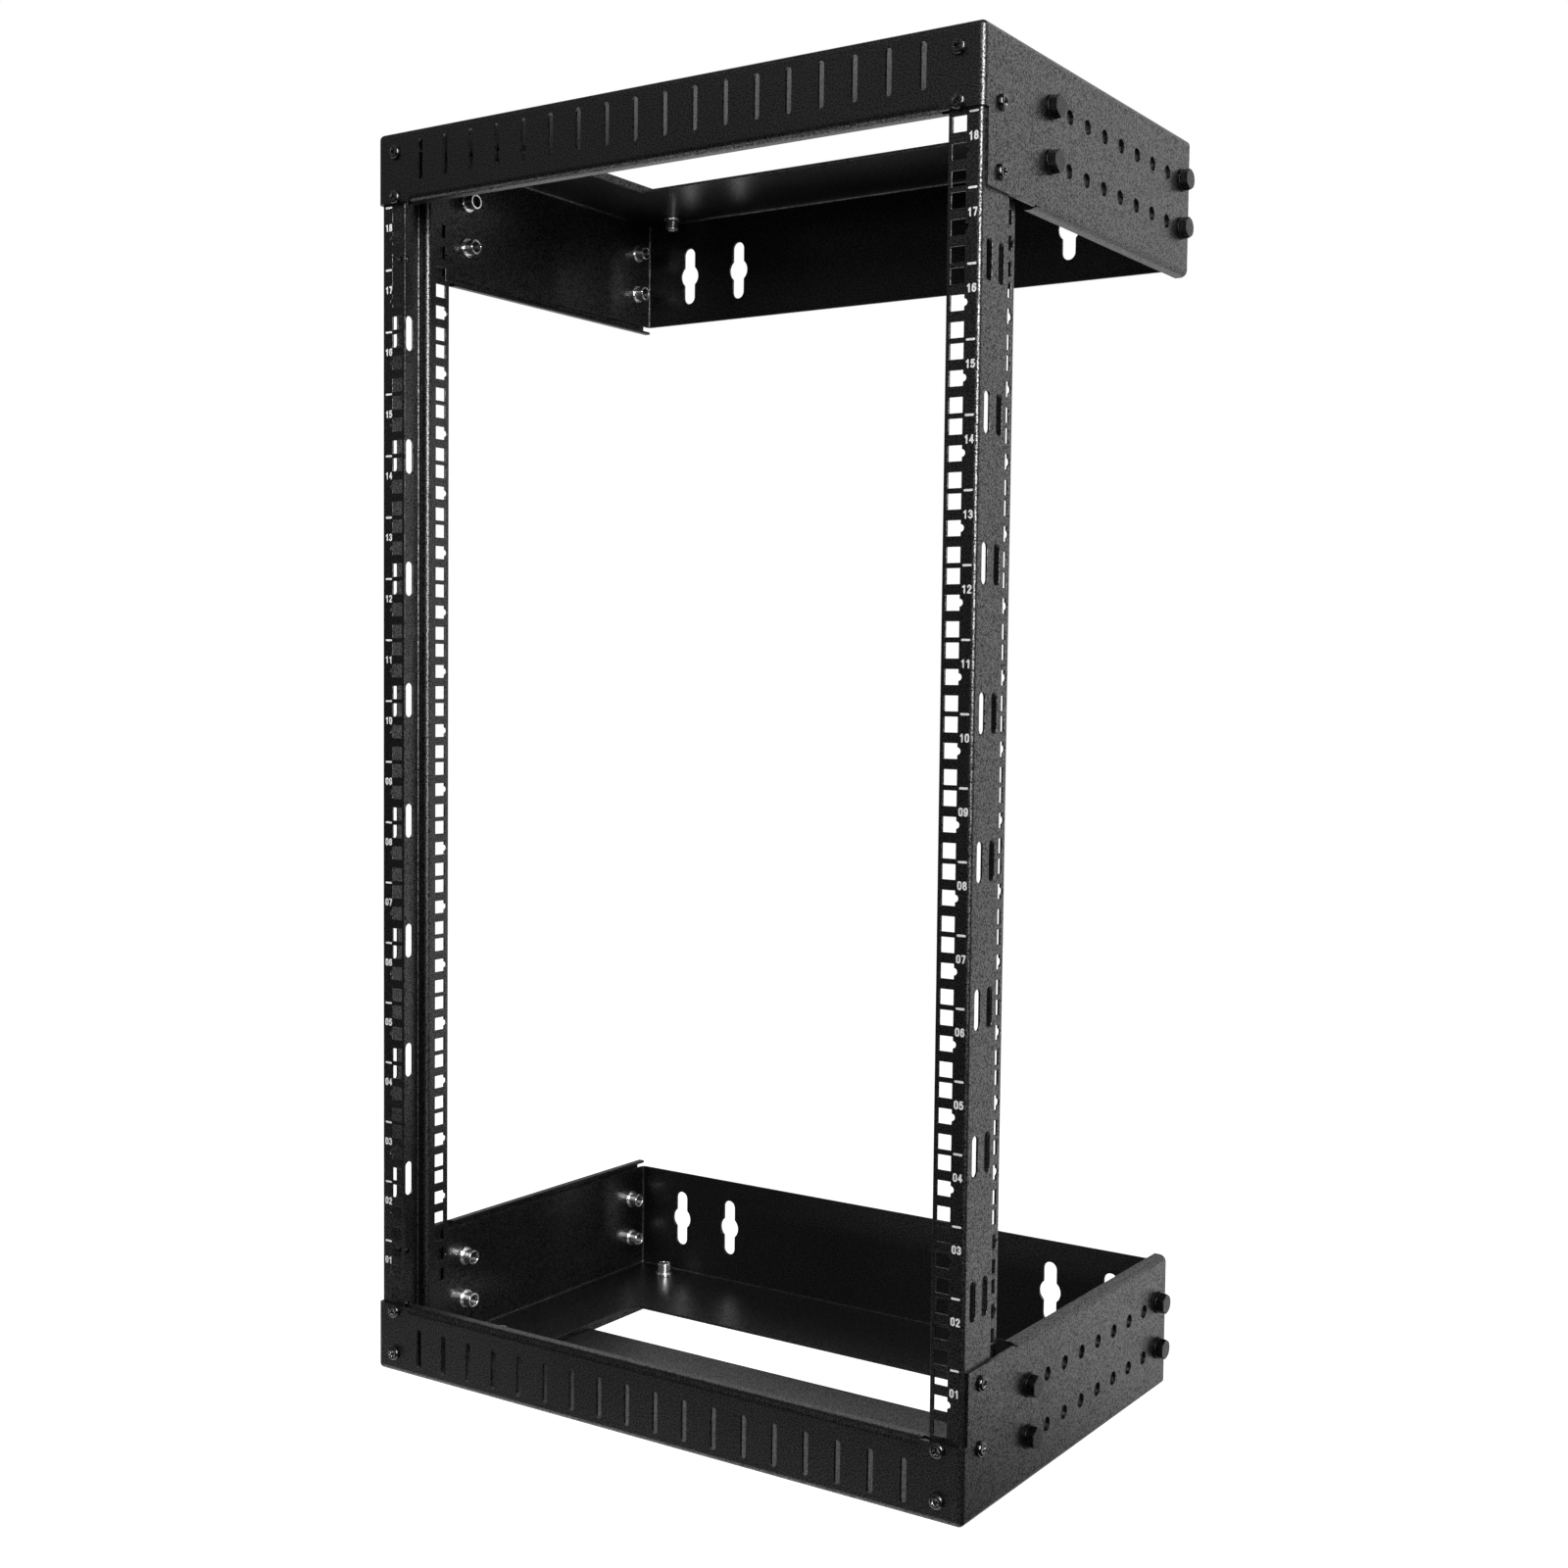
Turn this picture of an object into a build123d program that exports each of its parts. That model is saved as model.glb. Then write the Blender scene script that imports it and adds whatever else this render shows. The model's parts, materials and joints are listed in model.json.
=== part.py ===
"""Wall-mount open frame rack, 18 units high, 19-inch square-hole rails.

Millimetres, +Z up. X runs across the rack, its front faces -Y and the wall is the
plane y = 0. The origin lies on the wall face, mid-width, level with the upper row
of wall keyholes. Two folded U-shaped frames, top and bottom, each slide together
from a front half and a rear half; two folded rail posts join top to bottom.
"""
from build123d import *
from math import sqrt
import os

os.makedirs("parts", exist_ok=True)

# Rack standard: 18 units of 1 3/4 inch, three holes a unit at 1/4, 7/8 and 1 1/2 inch
unit = 44.45
unit_count = 18
hole_rows = [unit * part / 14 for part in (2, 7, 12)]
square_hole = 9.5
rail_opening = 450.0
column_inset = 7.55
stud_spacing = 406.4
narrow_stud_spacing = 304.8

# Folded sheet
sheet = 2.0
bend = 4.0
curl_depth = 9.0
curl_radius = 5.0
curl_wall = curl_radius + 1.0
raw_edge_trim = 1.0
relief_radius = 1.5

# Depth-adjustment holes, measured from the front, and the bolt rows from the top
first_bolt = 86.5
bolt_pitch = 25.4
bolt_places = 9
last_bolt_gap = 19.8
bolt_hole = 9.5
upper_bolt_row = 30.6
lower_bolt_row = 64.3
plate_bolt_inset = 42.0

# Rail posts
post_sheet = 1.5
rail_flange = 23.0
post_gap = 2.0
web_depth = 36.8
strip_width = 21.2
strip_setback = 8.35
strip_hole_inset = 8.5
post_bend = 3.0
notch_radius = 2.2
slot_pairs = 8
slot_end_gap = 85.05
slot_length = 25.4
slot_width = 6.8
front_slot_depth = 11.0
rear_slot_depth = 26.0

# Front frames: bar, wings and the flat plate between them
end_height = 52.45
bar_clearance = 1.45
wing_height = 96.5
wing_gap = 7.5
wing_setback = 6.0
front_plate_depth = 152.0
side_plate_width = 77.0
bar_curl_inset = 30.5
bar_curl_tail = 4.0
wing_curl_start = 69.0
bar_slot_count = 18
bar_slot_margin = 11.5
bar_slot_width = 4.5
bar_slot_rise = 14.8
bar_slot_drop = 7.5

# Rear frames: arms, wall plate and the flat plate between them
arm_start = 64.0
arm_foot_rise = 7.0
rear_plate_depth = 96.5
lip_height = 4.0
lip_end_gap = 3.0
key_drop = 50.0
key_length = 46.0
key_slot = 11.0
key_circle = 18.0

# Screws that join bars, wings and posts
upper_post_screw_drop = 43.95
lower_post_screw_rise = 11.55
post_screw_depth = 19.5
screw_shank = 5.0
screw_head = 10.0
screw_head_height = 3.0
screw_head_round = 1.8
screw_tail = 4.0
screw_clearance = 0.25

# Bolts, washers and rivet nuts
bolt_shank = 8.0
bolt_flats = 13.0
bolt_head = 5.3
head_chamfer_drop = 0.7
head_chamfer_width = 1.0
washer_width = 16.0
washer_thickness = 1.6
thread_clearance = 0.1
nut_barrel = 11.0
nut_bulge = 14.0
nut_bulge_height = 2.5
nut_length = 10.5
nut_fit = 0.1
bolt_end_setback = 3.5

# How far cutters run past what they cut
past = 1.0

# Derived places. Heights are measured from the rack's middle until the last move.
post_x = rail_opening / 2 + rail_flange
half_width = post_x + sheet
column_x = rail_opening / 2 + column_inset
rail_half = unit * unit_count / 2
half_height = rail_half + end_height
bar_foot = rail_half + bar_clearance
wing_foot = half_height - wing_height
arm_top = half_height - sheet
arm_foot = wing_foot + arm_foot_rise
key_z = half_height - key_drop
front_y = -(first_bolt + bolt_pitch * (bolt_places - 1) + last_bolt_gap)
rail_y = front_y + sheet
strip_y = rail_y + web_depth
post_end_y = strip_y + strip_width
arm_end_y = front_y + arm_start
wing_end_y = -wing_gap
plate_x = half_width - side_plate_width
plate_bolt_x = half_width - plate_bolt_inset
bolt_ys = [front_y + first_bolt + bolt_pitch * i for i in range(bolt_places)]
joined_ys = (bolt_ys[0], bolt_ys[-1])
bolt_rows_z = (half_height - upper_bolt_row, half_height - lower_bolt_row)
bar_screws_z = [rail_half + row for row in (hole_rows[0], hole_rows[-1])]
post_screws_z = (half_height - upper_post_screw_drop, wing_foot + lower_post_screw_rise)
post_screw_y = rail_y + post_screw_depth
raise_to_origin = Location((0, 0, -key_z))


def block(x0, x1, y0, y1, z0, z1):
    size = Box(x1 - x0, y1 - y0, z1 - z0)
    return Pos((x0 + x1) / 2, (y0 + y1) / 2, (z0 + z1) / 2) * size


def rod(radius, start, end):
    """A round rod between two points."""
    start = Vector(*start)
    along = Vector(*end) - start
    plane = Plane(origin=start, z_dir=along)
    return extrude(plane * Circle(radius), along.length)


def bent_block(half_x, y_closed, y_open, z_top, drop, radius):
    """A block rounded on its top edges and on the upright edges of its closed end."""
    y0, y1 = sorted((y_closed, y_open))
    solid = block(-half_x, half_x, y0, y1, z_top - drop, z_top)
    top = solid.faces().sort_by(Axis.Z)[-1].edges()
    top = [e for e in top if abs(e.center().Y - y_open) > radius / 2]
    upright = solid.edges().filter_by(Axis.Z)
    upright = [e for e in upright if abs(e.center().Y - y_closed) < radius / 2]
    return fillet(top + upright, radius)


def folded_tray(half_x, y_closed, y_open, z_top, drop):
    """A flat plate with a wall folded down on three sides, open on the fourth."""
    inward = 1 if y_open > y_closed else -1
    outer = bent_block(half_x, y_closed, y_open, z_top, drop, bend)
    hollow = bent_block(
        half_x - sheet,
        y_closed + inward * sheet,
        y_open + inward * sheet,
        z_top - sheet,
        drop,
        bend - sheet,
    )
    return outer - hollow


def folded_section(points, radius, thickness):
    """The cross-section of a folded sheet whose outer face follows the points."""
    path = FilletPolyline(*points, radius=radius)
    return make_face(offset(path, thickness, side=Side.LEFT, closed=True))


def curl(length):
    """A wall's curled edge: the wall stands on XZ, its narrow flange runs to +Y."""
    points = [(0, curl_wall), (0, 0), (curl_depth, 0)]
    upright = Plane(origin=(0, 0, 0), x_dir=(0, 1, 0), z_dir=(1, 0, 0))
    return extrude(upright * folded_section(points, curl_radius, sheet), length)


def slot_tool(x, y, z, length, width, along_x):
    """A cutter for a slot standing on end, through a wall facing X or Y."""
    facing = (1, 0, 0) if along_x else (0, 1, 0)
    plane = Plane(origin=(x, y, z), x_dir=(0, 0, 1), z_dir=facing)
    return extrude(plane * SlotOverall(length, width), 2 * sheet, both=True)


def front_frame():
    """Top front frame: plate, front bar and two wings in one folded sheet."""
    frame = folded_tray(half_width, front_y, wing_end_y, half_height, wing_height)
    gap_y = front_y + front_plate_depth
    under_plate = half_height - sheet - bend
    over_plate = half_height + past
    frame -= block(-plate_x, plate_x, gap_y, wing_end_y + past, under_plate, over_plate)

    # Raw lower edges; below the bar the wings start a little way back
    before = front_y - past
    beyond = wing_end_y + past
    under = wing_foot - past
    outside = half_width + past
    wing_trim = wing_foot + raw_edge_trim
    frame -= block(-outside, outside, before, beyond, under, wing_trim)
    bar_trim = bar_foot + raw_edge_trim
    wing_start = front_y + wing_setback
    frame -= block(-outside, outside, before, wing_start, under, bar_trim)

    # The curled edges start clear of the posts, the wings' ones behind a round relief
    curl_start = front_y + wing_curl_start
    bar_curl_x = half_width - bar_curl_inset
    bar_curl_top = bar_foot + curl_wall
    frame -= block(-bar_curl_x, bar_curl_x, before, rail_y + past, under, bar_curl_top)
    frame += Pos(-bar_curl_x, front_y, bar_foot) * curl(2 * bar_curl_x)
    for side in (-1, 1):
        x0, x1 = sorted((side * bar_curl_x, side * (bar_curl_x + bar_curl_tail)))
        tail_y = front_y + curl_radius
        frame += block(x0, x1, tail_y, front_y + curl_depth, bar_foot, bar_foot + sheet)
        x0, x1 = sorted((side * (half_width - 2 * sheet), side * outside))
        frame -= block(x0, x1, curl_start, beyond, under, wing_foot + curl_wall)
        relief_y = curl_start - relief_radius
        frame -= rod(relief_radius, (x0, relief_y, wing_trim), (x1, relief_y, wing_trim))
        turned = Rot(0, 0, 90) * curl(wing_end_y - curl_start)
        if side < 0:
            turned = mirror(turned, Plane.YZ)
        frame += Pos(side * half_width, curl_start, wing_foot) * turned

    # Adjustment holes, screw holes and the slots along the bar
    cutters = []
    for y in bolt_ys:
        for z in bolt_rows_z:
            cutters.append(rod(bolt_hole / 2, (-outside, y, z), (outside, y, z)))
        for x in (-plate_bolt_x, plate_bolt_x):
            cutters.append(rod(bolt_hole / 2, (x, y, under_plate), (x, y, over_plate)))
    screw_hole = screw_shank / 2 + screw_clearance
    for z in bar_screws_z:
        for x in (-column_x, column_x):
            cutters.append(rod(screw_hole, (x, before, z), (x, rail_y + past, z)))
    for z in post_screws_z:
        ends = (-outside, post_screw_y, z), (outside, post_screw_y, z)
        cutters.append(rod(screw_hole, *ends))
    slot_height = half_height - bar_slot_drop - bar_foot - bar_slot_rise
    slot_z = bar_foot + bar_slot_rise + slot_height / 2
    last_slot_x = bar_curl_x - bar_slot_margin
    for i in range(bar_slot_count):
        x = last_slot_x * (2 * i / (bar_slot_count - 1) - 1)
        cutters.append(slot_tool(x, front_y, slot_z, slot_height, bar_slot_width, False))
    return frame - cutters


def rear_frame():
    """Top rear frame: wall plate and two arms that slide inside the wings."""
    frame = folded_tray(post_x, 0, arm_end_y, arm_top, arm_top - arm_foot)
    under_plate = arm_top - sheet - bend
    over_plate = arm_top + past
    before = arm_end_y - past
    frame -= block(-plate_x, plate_x, before, -rear_plate_depth, under_plate, over_plate)
    for side in (-1, 1):
        x0, x1 = sorted((side * plate_x, side * (plate_x + sheet)))
        lip_end_y = -rear_plate_depth - lip_end_gap
        frame += block(x0, x1, arm_end_y, lip_end_y, arm_top - lip_height, arm_top)

    cutters = []
    seat = nut_barrel / 2 + nut_fit
    outside = post_x + past
    for y in joined_ys:
        for z in bolt_rows_z:
            cutters.append(rod(seat, (-outside, y, z), (outside, y, z)))
        for x in (-plate_bolt_x, plate_bolt_x):
            cutters.append(rod(seat, (x, y, under_plate), (x, y, over_plate)))
    for spacing in (stud_spacing, narrow_stud_spacing):
        for x in (-spacing / 2, spacing / 2):
            cutters.append(slot_tool(x, 0, key_z, key_length, key_slot, False))
            cutters.append(rod(key_circle / 2, (x, -2 * sheet, key_z), (x, past, key_z)))
    return frame - cutters


def rack_holes(x0, x1, y0, y1):
    """Cutters for every unit's three rack holes, as wide and deep as the limits given."""
    half = square_hole / 2
    rows = [unit * i - rail_half + rise for i in range(unit_count) for rise in hole_rows]
    return [block(x0, x1, y0, y1, z - half, z + half) for z in rows]


def post():
    """Right rail post: front flange, slotted web, step and rear strip in one folded sheet."""
    strip_x = post_x - strip_setback
    points = [
        (rail_opening / 2, rail_y),
        (post_x, rail_y),
        (post_x, strip_y),
        (strip_x, strip_y),
        (strip_x, post_end_y),
    ]
    top = half_height - sheet - post_gap
    rail = Pos(0, 0, -top) * extrude(folded_section(points, post_bend, post_sheet), 2 * top)

    # Square holes; the middle one of each unit has a round notch beside it
    half = square_hole / 2
    front_band = (rail_y - past, rail_y + post_sheet + past)
    strip_band = (strip_x - post_sheet - past, strip_x + past)
    hole_y = post_end_y - strip_hole_inset
    cutters = rack_holes(column_x - half, column_x + half, *front_band)
    cutters += rack_holes(*strip_band, hole_y - half, hole_y + half)
    for i in range(unit_count):
        z = unit * i - rail_half + hole_rows[1]
        notch_x = column_x + half
        notch_y = hole_y + half
        cutters.append(rod(notch_radius, *[(notch_x, y, z) for y in front_band]))
        cutters.append(rod(notch_radius, *[(x, notch_y, z) for x in strip_band]))

    last_slot_z = rail_half - slot_end_gap
    for i in range(slot_pairs):
        z = last_slot_z * (2 * i / (slot_pairs - 1) - 1)
        for depth in (front_slot_depth, rear_slot_depth):
            cutters.append(slot_tool(post_x, rail_y + depth, z, slot_length, slot_width, True))

    thread = screw_shank / 2 + thread_clearance
    web_band = (post_x - post_sheet - past, post_x + past)
    for end in (-1, 1):
        for z in bar_screws_z:
            cutters.append(rod(thread, *[(column_x, y, end * z) for y in front_band]))
        for z in post_screws_z:
            cutters.append(rod(thread, *[(x, post_screw_y, end * z) for x in web_band]))
    return rail - cutters


def hex_bolt():
    """Hex bolt with its washer face at z = 0, head up, ending inside its rivet nut."""
    reach = washer_thickness + 2 * sheet + nut_length - bolt_end_setback
    corner = bolt_flats / sqrt(3)
    head = extrude(RegularPolygon(corner, 6), bolt_head)
    top_edge = Cylinder(corner, bolt_head).edges().sort_by(Axis.Z)[-1]
    turned = chamfer(top_edge, head_chamfer_drop, head_chamfer_width)
    head &= Pos(0, 0, bolt_head / 2) * turned
    return head + Pos(0, 0, -reach / 2) * Cylinder(bolt_shank / 2, reach)


def washer():
    """Plain washer lying under the bolt head."""
    ring = Cylinder(washer_width / 2, washer_thickness)
    ring -= Cylinder(bolt_shank / 2 + 2 * thread_clearance, washer_thickness)
    return Pos(0, 0, -washer_thickness / 2) * ring


def rivet_nut():
    """Rivet nut set in the inner sheet, open end down, its bulge under that sheet."""
    top = -washer_thickness - sheet
    under = top - sheet
    nut = rod(nut_barrel / 2, (0, 0, top), (0, 0, under - nut_length))
    nut += rod(nut_bulge / 2, (0, 0, under), (0, 0, under - nut_bulge_height))
    bore = bolt_shank / 2 + thread_clearance
    return nut - rod(bore, (0, 0, top + past), (0, 0, under - nut_length - past))


def pan_screw():
    """Pan-head screw seated at z = 0, head up."""
    head = Pos(0, 0, screw_head_height / 2) * Cylinder(screw_head / 2, screw_head_height)
    head = fillet(head.edges().sort_by(Axis.Z)[-1], screw_head_round)
    reach = 2 * sheet + screw_tail
    return head + Pos(0, 0, -reach / 2) * Cylinder(screw_shank / 2, reach)


def facing(x_side, piece, x, y, z):
    """Turn a piece made head-up so that its head faces out of a wing."""
    return Pos(x, y, z) * (Rot(0, 90 * x_side, 0) * piece)


def save(name, shape, upside_down):
    if upside_down:
        shape = mirror(shape, Plane.XY)
    shape = raise_to_origin * shape
    export_step(shape, f"parts/{name}.step")


front = front_frame()
rear = rear_frame()
right_rail = post()
for level, upside_down in (("top", False), ("bottom", True)):
    save(f"{level}_front_frame", front, upside_down)
    save(f"{level}_rear_frame", rear, upside_down)
save("right_post", right_rail, False)
save("left_post", mirror(right_rail, Plane.YZ), False)

under_washer = half_width + washer_thickness
above_washer = half_height + washer_thickness
fixings = {"bolts": hex_bolt(), "washers": washer(), "nuts": rivet_nut()}
screw = pan_screw()
for side_name, side in (("left", -1), ("right", 1)):
    for kind, piece in fixings.items():
        on_wing = [
            facing(side, piece, side * under_washer, y, z) for y in joined_ys for z in bolt_rows_z
        ]
        on_plate = [Pos(side * plate_bolt_x, y, above_washer) * piece for y in joined_ys]
        for level, upside_down in (("top", False), ("bottom", True)):
            save(f"side_{kind}_{level}_{side_name}", Compound(on_wing), upside_down)
            save(f"plate_{kind}_{level}_{side_name}", Compound(on_plate), upside_down)
    on_bar = [Pos(side * column_x, front_y, z) * (Rot(90, 0, 0) * screw) for z in bar_screws_z]
    on_web = [facing(side, screw, side * half_width, post_screw_y, z) for z in post_screws_z]
    for level, upside_down in (("top", False), ("bottom", True)):
        save(f"front_screws_{level}_{side_name}", Compound(on_bar), upside_down)
        save(f"post_screws_{level}_{side_name}", Compound(on_web), upside_down)
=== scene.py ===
"""Looks for the wall-mount open frame rack: powder coat, printed units, screws, studio."""
import json
import math

import bmesh
import bpy
from mathutils import Matrix, Vector


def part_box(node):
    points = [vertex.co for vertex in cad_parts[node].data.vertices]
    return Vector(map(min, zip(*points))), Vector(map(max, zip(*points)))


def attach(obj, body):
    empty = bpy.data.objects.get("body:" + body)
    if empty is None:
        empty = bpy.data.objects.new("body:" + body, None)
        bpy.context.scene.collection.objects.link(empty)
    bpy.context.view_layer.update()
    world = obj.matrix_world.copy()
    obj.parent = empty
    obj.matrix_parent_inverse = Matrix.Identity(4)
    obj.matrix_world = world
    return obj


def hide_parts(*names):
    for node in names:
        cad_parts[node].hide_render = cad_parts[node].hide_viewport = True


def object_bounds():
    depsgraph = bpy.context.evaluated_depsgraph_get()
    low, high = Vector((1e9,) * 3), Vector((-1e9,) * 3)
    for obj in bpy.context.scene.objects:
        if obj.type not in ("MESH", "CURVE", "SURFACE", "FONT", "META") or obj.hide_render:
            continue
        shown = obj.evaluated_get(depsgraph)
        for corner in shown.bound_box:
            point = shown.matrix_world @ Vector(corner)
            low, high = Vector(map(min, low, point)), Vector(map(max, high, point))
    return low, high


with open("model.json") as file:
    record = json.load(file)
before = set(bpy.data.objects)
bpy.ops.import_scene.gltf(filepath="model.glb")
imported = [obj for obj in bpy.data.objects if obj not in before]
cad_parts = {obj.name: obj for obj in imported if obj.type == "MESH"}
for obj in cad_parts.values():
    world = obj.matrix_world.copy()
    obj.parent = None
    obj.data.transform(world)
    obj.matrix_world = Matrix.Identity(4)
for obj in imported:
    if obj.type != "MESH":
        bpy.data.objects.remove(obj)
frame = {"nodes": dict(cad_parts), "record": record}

cad_low, cad_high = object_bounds()
nodes = frame["nodes"]
record = frame["record"]
MM = 0.001

# Rack standard, in metres
UNIT = 44.45 * MM
UNIT_COUNT = 18

# Printed unit numbers and unit lines on the front flanges
PRINT_THICKNESS = 0.06 * MM
PRINT_ROOT = 0.02 * MM
STROKE_STEP = 0.004 * MM
STROKE_WIDTH = 1.1 * MM
DIGIT_WIDTH = 2.0 * MM
DIGIT_HEIGHT = 4.3 * MM
DIGIT_ADVANCE = 3.6 * MM
PRINT_PLACES = (("left", -240.9 * MM), ("right", 242.2 * MM))
NUMBER_RISE = 30.2 * MM
TICK_LENGTH = 6.4 * MM
TICK_WIDTH = 1.4 * MM
ARC_STEP = 15
CAP_STEPS = 6

# Cross recess in the pan heads
RECESS_REACH = 2.5 * MM
RECESS_WIDTH = 1.25 * MM
RECESS_DEPTH = 2.0 * MM
RECESS_TAPER = 0.55
RECESS_OVERSHOOT = 0.3 * MM
RECESS_TURN = 25

# Rounded edges of the fixings, the posts and the rear frames
NUT_ROUND = 0.35 * MM
BOLT_ROUND = 0.18 * MM
SHEET_ROUND = 0.35 * MM
WASHER_ROUND = 0.25 * MM
ROUND_STEPS = 3
SHARP_ANGLE = 38
FLAT_ANGLE = 0.5
WELD = 0.0001 * MM

# Camera, fitted to the photograph
CAMERA_PLACE = (0.8174, -1.3259, -0.3390)
CAMERA_TURN = (86.999, -0.739, 32.472)
LENS_MM = 44.772
SHIFT_X = -0.0500
SHIFT_Y = -0.0004

# Studio: brightness 1 is the white of the background
DIFFUSE_LIGHT = 0.06
ROOM_LIGHT = 0.018
FRONT_GLOSS = 0.17
WHITE_BEHIND = (0.2, 0.6)
WHITE_ABOVE = (0.15, 0.45)
WHITE_LEFT = (-0.30, 0.0)
GLOSS_FRONT = (-0.1, 0.6)
GLOSS_ABOVE = (0.0, 0.25)
FLOOR_COLOUR = (0.85, 0.85, 0.85, 1.0)
FLOOR_ROUGHNESS = 0.9
FLOOR_DROP = 0.75
FLOOR_LEFT = -6.0
FLOOR_RIGHT = 0.6
FLOOR_FRONT = -1.35
FLOOR_BACK = 7.0
KEY_LIGHT = ("key", (-0.90, -2.10, 1.90), (0.0, -0.15, -0.40), 1.6, 1.6, 13.0)
GLOSS_CARDS = (
    ("strip", (1.88, -1.455, 0.70), (0.245, -0.3075, 0.70), 0.9, 2.0, 34.0),
    ("front_card", (0.45, -2.60, 0.60), (0.0, -0.30, 0.0), 0.6, 2.0, 1.6),
    ("side_card", (0.78, 0.42, 0.15), (0.26, -0.25, 0.15), 0.95, 2.6, 1.3),
)


def new_material(name):
    material = bpy.data.materials.new(name)
    material.use_nodes = True
    tree = material.node_tree
    shader = tree.nodes["Principled BSDF"]
    return material, tree, shader


def object_coordinates(tree):
    return tree.nodes.new("ShaderNodeTexCoord").outputs["Object"]


def noise(tree, coordinates, scale, detail=2.0, roughness=0.5):
    texture = tree.nodes.new("ShaderNodeTexNoise")
    texture.inputs["Scale"].default_value = scale
    texture.inputs["Detail"].default_value = detail
    texture.inputs["Roughness"].default_value = roughness
    tree.links.new(coordinates, texture.inputs["Vector"])
    return texture.outputs["Fac"]


def ramp(tree, factor, low, high, low_place=0.35, high_place=0.65):
    """Colours or greys that run from low to high as the factor rises."""
    node = tree.nodes.new("ShaderNodeValToRGB")
    stops = node.color_ramp.elements
    for stop, place, value in ((stops[0], low_place, low), (stops[1], high_place, high)):
        stop.position = place
        stop.color = (*value, 1.0) if isinstance(value, tuple) else (value, value, value, 1.0)
    tree.links.new(factor, node.inputs["Fac"])
    return node.outputs["Color"]


def bump(tree, height, distance, strength=1.0, normal=None):
    node = tree.nodes.new("ShaderNodeBump")
    node.inputs["Distance"].default_value = distance
    node.inputs["Strength"].default_value = strength
    tree.links.new(height, node.inputs["Height"])
    if normal is not None:
        tree.links.new(normal, node.inputs["Normal"])
    return node.outputs["Normal"]


def powder_coat():
    """Black semi-gloss powder coat: speckled fine grain over soft orange peel."""
    material, tree, shader = new_material("powder_coat")
    place = object_coordinates(tree)
    grain = noise(tree, place, scale=1900.0, roughness=0.6)
    speck = noise(tree, place, scale=1050.0, detail=1.0)
    peel = noise(tree, place, scale=700.0)
    cloud = noise(tree, place, scale=9.0, detail=3.0)
    colour = ramp(tree, grain, (0.004, 0.004, 0.0042), (0.009, 0.009, 0.0093), 0.3, 0.7)
    tree.links.new(colour, shader.inputs["Base Color"])
    rough = ramp(tree, cloud, 0.32, 0.37, 0.3, 0.7)
    tree.links.new(rough, shader.inputs["Roughness"])
    shine = ramp(tree, speck, 0.08, 0.92, 0.40, 0.60)
    tree.links.new(shine, shader.inputs["Specular IOR Level"])
    normal = bump(tree, peel, distance=0.05 * MM, strength=0.5)
    normal = bump(tree, grain, distance=0.025 * MM, strength=0.6, normal=normal)
    tree.links.new(normal, shader.inputs["Normal"])
    return material


def black_oxide(name, roughness, grain_depth, shine):
    """Blackened steel: dark, a little oily, with forged or drawn grain."""
    material, tree, shader = new_material(name)
    place = object_coordinates(tree)
    grain = noise(tree, place, scale=1100.0, detail=4.0, roughness=0.6)
    patch = noise(tree, place, scale=420.0)
    colour = ramp(tree, patch, (0.008, 0.008, 0.009), (0.022, 0.022, 0.023))
    tree.links.new(colour, shader.inputs["Base Color"])
    rough = ramp(tree, patch, *roughness)
    tree.links.new(rough, shader.inputs["Roughness"])
    gleam = ramp(tree, grain, 0.5 * shine, 1.5 * shine, 0.36, 0.64)
    tree.links.new(gleam, shader.inputs["Specular IOR Level"])
    normal = bump(tree, grain, distance=grain_depth, strength=0.7)
    tree.links.new(normal, shader.inputs["Normal"])
    return material


def zinc_plate():
    """Bright zinc with a faint brushed grain and cloudy bloom."""
    material, tree, shader = new_material("zinc")
    place = object_coordinates(tree)
    cloud = noise(tree, place, scale=160.0, detail=3.0)
    grain = noise(tree, place, scale=1500.0)
    colour = ramp(tree, cloud, (0.74, 0.75, 0.77), (0.90, 0.90, 0.91))
    tree.links.new(colour, shader.inputs["Base Color"])
    tree.links.new(ramp(tree, cloud, 0.16, 0.26), shader.inputs["Roughness"])
    normal = bump(tree, grain, distance=0.02 * MM, strength=0.3)
    tree.links.new(normal, shader.inputs["Normal"])
    shader.inputs["Metallic"].default_value = 0.95
    return material


def white_print():
    """Screen-printed white ink, slightly uneven, over the coat's grain."""
    material, tree, shader = new_material("white_print")
    place = object_coordinates(tree)
    grain = noise(tree, place, scale=900.0, detail=3.0, roughness=0.6)
    colour = ramp(tree, grain, (0.86, 0.86, 0.85), (0.92, 0.92, 0.91))
    tree.links.new(colour, shader.inputs["Base Color"])
    tree.links.new(ramp(tree, grain, 0.5, 0.62), shader.inputs["Roughness"])
    normal = bump(tree, grain, distance=0.03 * MM, strength=0.5)
    tree.links.new(normal, shader.inputs["Normal"])
    return material


materials = {
    "powder_coat": powder_coat(),
    "black_bolt": black_oxide("black_bolt", (0.24, 0.40), grain_depth=0.08 * MM, shine=0.20),
    "black_screw": black_oxide("black_screw", (0.14, 0.22), grain_depth=0.01 * MM, shine=0.6),
    "zinc": zinc_plate(),
}
ink = white_print()

# Every CAD node wears its slot's material
for part in record["subparts"]:
    piece = nodes[part["node"]]
    for slot in piece.material_slots:
        slot.material = materials[part["material_slot"]]


def add_piece(name, mesh, material):
    """A new piece of the object, riding on the rack's one body."""
    piece = bpy.data.objects.new(name, mesh)
    bpy.context.scene.collection.objects.link(piece)
    mesh.materials.clear()
    mesh.materials.append(material)
    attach(piece, "root")
    return piece


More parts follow.
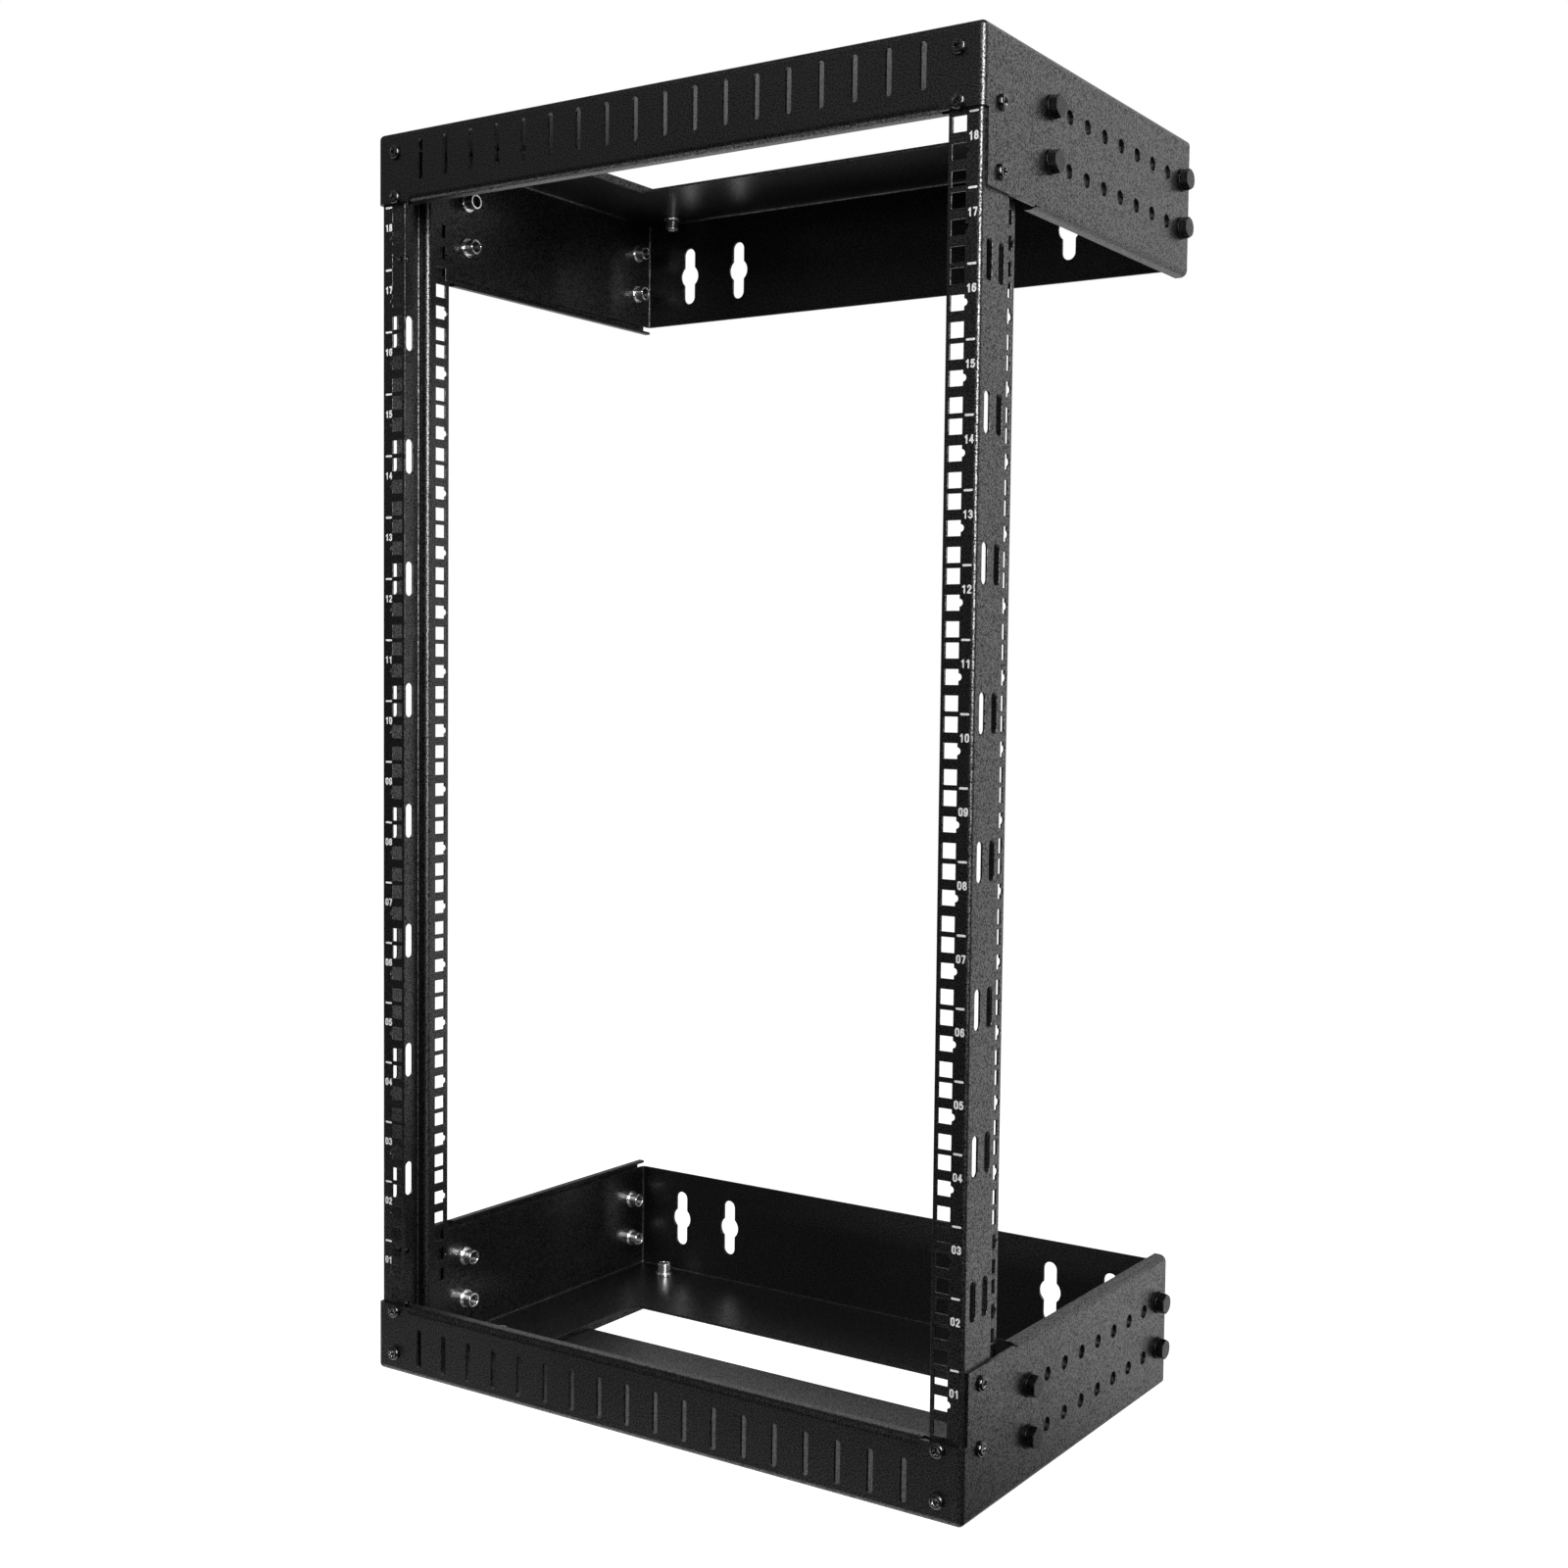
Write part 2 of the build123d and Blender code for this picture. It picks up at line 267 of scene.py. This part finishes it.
def mesh_from(bm, name):
    mesh = bpy.data.meshes.new(name)
    bmesh.ops.recalc_face_normals(bm, faces=bm.faces)
    bm.to_mesh(mesh)
    bm.free()
    return mesh


def arc(x, z, across, up, start, end):
    """Points along part of an ellipse, from one angle to the other in degrees."""
    steps = max(4, round(abs(end - start) / ARC_STEP))
    angles = [math.radians(start + (end - start) * i / steps) for i in range(steps + 1)]
    return [(x + across * math.cos(a), z + up * math.sin(a)) for a in angles]


def ring(x, z, across, up):
    """A closed ellipse, given once round without its last point."""
    return arc(x, z, across, up, 0, 360)[:-1]


def digit_strokes():
    """Centre lines of the ten digits, in a box one wide and one high; True is closed."""
    six = [(ring(0.5, 0.31, 0.5, 0.31), True),
           (arc(0.55, 0.62, 0.55, 0.38, 40, 180) + [(0.0, 0.31)], False)]
    stadium = arc(0.5, 0.77, 0.5, 0.23, 0, 180) + arc(0.5, 0.23, 0.5, 0.23, 180, 360)
    return {
        "0": [(stadium, True)],
        "1": [([(0.15, 0.79), (0.62, 1.0)], False), ([(0.62, 1.0), (0.62, 0.0)], False)],
        "2": [(arc(0.5, 0.76, 0.5, 0.24, 170, -40) + [(0.0, 0.0)], False),
              ([(0.0, 0.0), (1.0, 0.0)], False)],
        "3": [(arc(0.46, 0.76, 0.48, 0.24, 155, -90), False),
              (arc(0.46, 0.26, 0.54, 0.26, 90, -155), False)],
        "4": [([(0.70, 1.0), (0.0, 0.29)], False), ([(0.0, 0.29), (1.08, 0.29)], False),
              ([(0.73, 1.0), (0.73, 0.0)], False)],
        "5": [([(0.92, 1.0), (0.16, 1.0)], False), ([(0.16, 1.0), (0.06, 0.56)], False),
              (arc(0.46, 0.33, 0.54, 0.33, 140, -150), False)],
        "6": six,
        "7": [([(0.0, 1.0), (1.0, 1.0)], False), ([(1.0, 1.0), (0.38, 0.0)], False)],
        "8": [(ring(0.5, 0.76, 0.43, 0.24), True), (ring(0.5, 0.27, 0.5, 0.27), True)],
        "9": [([(1 - x, 1 - z) for x, z in line], closed) for line, closed in six],
    }


def slab(bm, points, faces, rims, front_y, back_y):
    """A flat piece standing on the XZ plane, from its points, faces and rims."""
    front = [bm.verts.new((x, front_y, z)) for x, z in points]
    back = [bm.verts.new((x, back_y, z)) for x, z in points]
    for face in faces:
        bm.faces.new([front[i] for i in face])
        bm.faces.new([back[i] for i in reversed(face)])
    for rim in rims:
        for i, j in zip(rim, rim[1:] + rim[:1]):
            bm.faces.new((front[i], back[i], back[j], front[j]))


def ink_line(bm, line, closed, width, front_y, back_y):
    """A stroke of ink of even width along a line of (x, z) points, with round ends."""
    line = [Vector(point) for point in line]
    count = len(line)
    one_side, other_side, tangents = [], [], []
    for i, point in enumerate(line):
        before = line[i - 1] if closed or i else point
        after = line[(i + 1) % count] if closed or i < count - 1 else point
        along = (after - before).normalized()
        across = Vector((-along.y, along.x)) * width / 2
        one_side.append(point + across)
        other_side.append(point - across)
        tangents.append(along)
    points = one_side + other_side
    faces = [(i, i + 1, count + i + 1, count + i) for i in range(count - 1)]
    if closed:
        faces.append((count - 1, 0, count, 2 * count - 1))
        rims = [list(range(count)), list(range(count, 2 * count))]
        slab(bm, points, faces, rims, front_y, back_y)
        return
    caps = []
    for centre, along in ((line[-1], tangents[-1]), (line[0], -tangents[0])):
        across = Vector((-along.y, along.x))
        first = len(points)
        for step in range(1, CAP_STEPS):
            angle = math.pi * (step / CAP_STEPS - 0.5)
            points.append(centre + (along * math.cos(angle) + across * math.sin(angle)) * width / 2)
        caps.append(list(range(first, len(points))))
    faces.append([2 * count - 1] + caps[0] + [count - 1])
    faces.append([0] + caps[1] + [count])
    rim = list(range(count, 2 * count)) + caps[0] + list(range(count - 1, -1, -1)) + caps[1]
    slab(bm, points, faces, [rim], front_y, back_y)


def add_number(bm, words, strokes, centre_x, centre_z, flange_y):
    """Plain digits side by side; later strokes lie a hair prouder than the ones they cross."""
    start = centre_x - (DIGIT_ADVANCE * (len(words) - 1) + DIGIT_WIDTH) / 2
    foot = centre_z - DIGIT_HEIGHT / 2
    for place, letter in enumerate(words):
        left = start + DIGIT_ADVANCE * place
        for order, (line, closed) in enumerate(strokes[letter]):
            line = [(left + DIGIT_WIDTH * x, foot + DIGIT_HEIGHT * z) for x, z in line]
            front_y = flange_y - PRINT_THICKNESS - STROKE_STEP * order
            ink_line(bm, line, closed, STROKE_WIDTH, front_y, flange_y + PRINT_ROOT)


def print_units():
    """Unit numbers and unit lines on both front flanges."""
    low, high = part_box("right_post")
    flange_y = low.y
    base = (low.z + high.z) / 2 - UNIT * UNIT_COUNT / 2
    strokes = digit_strokes()
    reach = (TICK_LENGTH - TICK_WIDTH) / 2
    for side_name, centre_x in PRINT_PLACES:
        digits = bmesh.new()
        ticks = bmesh.new()
        for number in range(1, UNIT_COUNT + 1):
            foot = base + UNIT * (number - 1)
            rise = foot + NUMBER_RISE
            add_number(digits, f"{number:02d}", strokes, centre_x, rise, flange_y)
            line = [(centre_x - reach, foot + UNIT), (centre_x + reach, foot + UNIT)]
            ink_line(ticks, line, False, TICK_WIDTH, flange_y - PRINT_THICKNESS, flange_y + PRINT_ROOT)
        add_piece(f"{side_name}_unit_numbers", mesh_from(digits, "digits"), ink)
        add_piece(f"{side_name}_unit_marks", mesh_from(ticks, "ticks"), ink)


print_units()


def welded(node):
    """A copy of a CAD node's mesh whose faces share their corners."""
    bm = bmesh.new()
    bm.from_mesh(nodes[node].data)
    bmesh.ops.remove_doubles(bm, verts=bm.verts, dist=WELD)
    return bm


def solids_of(bm):
    """The corners of each separate solid of a mesh, the one furthest from mid-height first."""
    left = set(bm.verts)
    solids = []
    while left:
        waiting = [left.pop()]
        solid = []
        while waiting:
            corner = waiting.pop()
            solid.append(corner.co.copy())
            for edge in corner.link_edges:
                other = edge.other_vert(corner)
                if other in left:
                    left.remove(other)
                    waiting.append(other)
        solids.append(solid)
    middle = (cad_low.z + cad_high.z) / 2
    return sorted(solids, key=lambda solid: max(abs(c.z - middle) for c in solid), reverse=True)


def smooth_by_angle(mesh):
    """Smooth shading with crisp edges where faces meet sharply."""
    mesh.polygons.foreach_set("use_smooth", [True] * len(mesh.polygons))
    mesh.set_sharp_from_angle(angle=math.radians(SHARP_ANGLE))


def stand_in(node, mesh, slot):
    """A finer piece shown in place of a CAD node."""
    smooth_by_angle(mesh)
    piece = add_piece(f"{node}_fine", mesh, materials[slot])
    normals = piece.modifiers.new("normals", "WEIGHTED_NORMAL")
    normals.keep_sharp = True
    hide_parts(node)


def rounded(node, radius, slot, clamp=True):
    """The node with its sharp edges rounded; clamped, the rounding shrinks where edges crowd."""
    bm = welded(node)
    bmesh.ops.dissolve_limit(bm, angle_limit=math.radians(FLAT_ANGLE), verts=bm.verts, edges=bm.edges)
    sharp = [e for e in bm.edges if e.is_manifold and e.calc_face_angle() > math.radians(SHARP_ANGLE)]
    bmesh.ops.bevel(bm, geom=sharp, offset=radius, segments=ROUND_STEPS, profile=0.5,
                    affect="EDGES", clamp_overlap=clamp)
    stand_in(node, mesh_from(bm, node), slot)


def recess_cutter(bm, centre, axis, turn):
    """A tapered cross, sunk into a head along its axis from the top's centre."""
    narrow, reach = RECESS_WIDTH / 2, RECESS_REACH
    corner = [(reach, -narrow), (reach, narrow), (narrow, narrow)]
    level = axis.to_track_quat("Z", "Y").to_matrix()
    rows = []
    for height, scale in ((RECESS_OVERSHOOT, 1.0), (-RECESS_DEPTH, RECESS_TAPER)):
        row = []
        for quarter in range(4):
            spin = Matrix.Rotation(math.radians(90 * quarter + turn), 3, "Z")
            for x, y in corner:
                flat = spin @ Vector((x * scale, y * scale, 0.0))
                row.append(bm.verts.new(centre + level @ (flat + Vector((0.0, 0.0, height)))))
        rows.append(row)
    bm.faces.new(rows[0])
    bm.faces.new(list(reversed(rows[1])))
    for i in range(len(rows[0])):
        j = (i + 1) % len(rows[0])
        bm.faces.new((rows[0][i], rows[1][i], rows[1][j], rows[0][j]))


def recessed(node, axis, slot):
    """The node's pan heads with a cross recess sunk into each."""
    bm = welded(node)
    cutters = bmesh.new()
    for order, solid in enumerate(solids_of(bm)):
        low = Vector([min(c[i] for c in solid) for i in range(3)])
        high = Vector([max(c[i] for c in solid) for i in range(3)])
        top = (low + high) / 2
        reach = max(c.dot(axis) for c in solid)
        top += axis * (reach - top.dot(axis))
        recess_cutter(cutters, top, axis, RECESS_TURN * (1 + 2 * order))
    heads = bpy.data.objects.new("heads", mesh_from(bm, "heads"))
    tool = bpy.data.objects.new("tool", mesh_from(cutters, "tool"))
    for helper in (heads, tool):
        bpy.context.scene.collection.objects.link(helper)
    cut = heads.modifiers.new("cut", "BOOLEAN")
    cut.operation = "DIFFERENCE"
    cut.solver = "EXACT"
    cut.object = tool
    view = bpy.context.evaluated_depsgraph_get()
    mesh = bpy.data.meshes.new_from_object(heads.evaluated_get(view))
    for helper in (heads, tool):
        old = helper.data
        bpy.data.objects.remove(helper)
        bpy.data.meshes.remove(old)
    stand_in(node, mesh, slot)


# Finer copies stand in for the CAD nodes; the front frames are shown as they are
for part in record["subparts"]:
    node, slot = part["node"], part["material_slot"]
    side = -1.0 if node.endswith("left") else 1.0
    if node.startswith("front_screws"):
        recessed(node, Vector((0.0, -1.0, 0.0)), slot)
    elif node.startswith("post_screws"):
        recessed(node, Vector((side, 0.0, 0.0)), slot)
    elif slot == "zinc":
        rounded(node, NUT_ROUND, slot)
    elif "_bolts_" in node:
        rounded(node, BOLT_ROUND, slot)
    elif "_washers_" in node:
        rounded(node, WASHER_ROUND, slot)
    elif "front_frame" not in node:
        rounded(node, SHEET_ROUND, slot, clamp=False)


def calculate(tree, operation, first, second):
    """One step of sums on sockets or plain numbers."""
    node = tree.nodes.new("ShaderNodeMath")
    node.operation = operation
    for socket, value in zip(node.inputs, (first, second)):
        if isinstance(value, float):
            socket.default_value = value
        else:
            tree.links.new(value, socket)
    return node.outputs[0]


def rise(tree, value, span):
    """A smooth rise from 0 to 1 while the value runs over the span."""
    node = tree.nodes.new("ShaderNodeMapRange")
    node.interpolation_type = "SMOOTHSTEP"
    node.inputs["From Min"].default_value = span[0]
    node.inputs["From Max"].default_value = span[1]
    tree.links.new(value, node.inputs["Value"])
    return node.outputs["Result"]


def studio():
    """A white background; gloss shows it behind, above and to the left, and a dim room elsewhere."""
    world = bpy.data.worlds.new("studio")
    bpy.context.scene.world = world
    world.use_nodes = True
    tree = world.node_tree
    background = tree.nodes["Background"]
    place = tree.nodes.new("ShaderNodeTexCoord").outputs["Generated"]
    split = tree.nodes.new("ShaderNodeSeparateXYZ")
    tree.links.new(place, split.inputs["Vector"])
    leftward = calculate(tree, "MULTIPLY", split.outputs["X"], -1.0)
    forward = calculate(tree, "MULTIPLY", split.outputs["Y"], -1.0)
    white = rise(tree, split.outputs["Y"], WHITE_BEHIND)
    white = calculate(tree, "MULTIPLY", white, rise(tree, split.outputs["Z"], WHITE_ABOVE))
    white = calculate(tree, "MULTIPLY", white, rise(tree, leftward, WHITE_LEFT))
    gloss = rise(tree, forward, GLOSS_FRONT)
    gloss = calculate(tree, "MULTIPLY", gloss, rise(tree, split.outputs["Z"], GLOSS_ABOVE))
    gloss = calculate(tree, "MULTIPLY", gloss, FRONT_GLOSS)
    room = calculate(tree, "ADD", gloss, ROOM_LIGHT)
    gloss = calculate(tree, "MAXIMUM", white, room)
    path = tree.nodes.new("ShaderNodeLightPath")
    shown = calculate(tree, "MAXIMUM", path.outputs["Is Camera Ray"],
                      path.outputs["Is Transmission Ray"])
    strength = mixed(tree, path.outputs["Is Glossy Ray"], DIFFUSE_LIGHT, gloss)
    strength = mixed(tree, shown, strength, 1.0)
    tree.links.new(strength, background.inputs["Strength"])
    background.inputs["Color"].default_value = (1.0, 1.0, 1.0, 1.0)


def mixed(tree, factor, first, second):
    """First where the factor is 0, second where it is 1."""
    node = tree.nodes.new("ShaderNodeMix")
    tree.links.new(factor, node.inputs["Factor"])
    for name, value in (("A", first), ("B", second)):
        if isinstance(value, float):
            node.inputs[name].default_value = value
        else:
            tree.links.new(value, node.inputs[name])
    return node.outputs["Result"]


def softbox(name, place, aim, width, height, brightness):
    """A rectangle of even brightness, where 1 is the white of the background."""
    light = bpy.data.lights.new(name, "AREA")
    light.shape = "RECTANGLE"
    light.size = width
    light.size_y = height
    light.energy = brightness * math.pi * width * height
    lamp = bpy.data.objects.new(name, light)
    lamp.location = place
    lamp.rotation_mode = "QUATERNION"
    lamp.rotation_quaternion = (Vector(aim) - Vector(place)).to_track_quat("-Z", "Y")
    lamp.visible_camera = False
    bpy.context.scene.collection.objects.link(lamp)
    return lamp


def pale_floor():
    """A wide white floor well below the hanging rack; it keeps the rack's shadow."""
    material, tree, shader = new_material("white_floor")
    shader.inputs["Base Color"].default_value = FLOOR_COLOUR
    shader.inputs["Roughness"].default_value = FLOOR_ROUGHNESS
    glow = tree.nodes.new("ShaderNodeEmission")
    path = tree.nodes.new("ShaderNodeLightPath")
    shown = calculate(tree, "MAXIMUM", path.outputs["Is Camera Ray"],
                      path.outputs["Is Glossy Ray"])
    shown = calculate(tree, "MAXIMUM", shown, path.outputs["Is Transmission Ray"])
    tree.links.new(shown, glow.inputs["Strength"])
    add = tree.nodes.new("ShaderNodeAddShader")
    tree.links.new(shader.outputs["BSDF"], add.inputs[0])
    tree.links.new(glow.outputs["Emission"], add.inputs[1])
    tree.links.new(add.outputs["Shader"], tree.nodes["Material Output"].inputs["Surface"])
    bm = bmesh.new()
    corners = ((FLOOR_LEFT, FLOOR_FRONT), (FLOOR_RIGHT, FLOOR_FRONT),
               (FLOOR_RIGHT, FLOOR_BACK), (FLOOR_LEFT, FLOOR_BACK))
    bm.faces.new([bm.verts.new((x, y, 0.0)) for x, y in corners])
    mesh = bpy.data.meshes.new("floor")
    bm.to_mesh(mesh)
    bm.free()
    mesh.materials.append(material)
    floor = bpy.data.objects.new("floor", mesh)
    floor.location = (0.0, 0.0, cad_low.z - FLOOR_DROP)
    bpy.context.scene.collection.objects.link(floor)


studio()
pale_floor()
softbox(*KEY_LIGHT).visible_glossy = False
for card in GLOSS_CARDS:
    softbox(*card).visible_diffuse = False

camera = bpy.data.cameras.new("camera")
camera.lens = LENS_MM
camera.shift_x = SHIFT_X
camera.shift_y = SHIFT_Y
viewer = bpy.data.objects.new("camera", camera)
viewer.location = CAMERA_PLACE
viewer.rotation_euler = [math.radians(angle) for angle in CAMERA_TURN]
bpy.context.scene.collection.objects.link(viewer)
bpy.context.scene.camera = viewer
bpy.context.scene.view_settings.view_transform = "Standard"
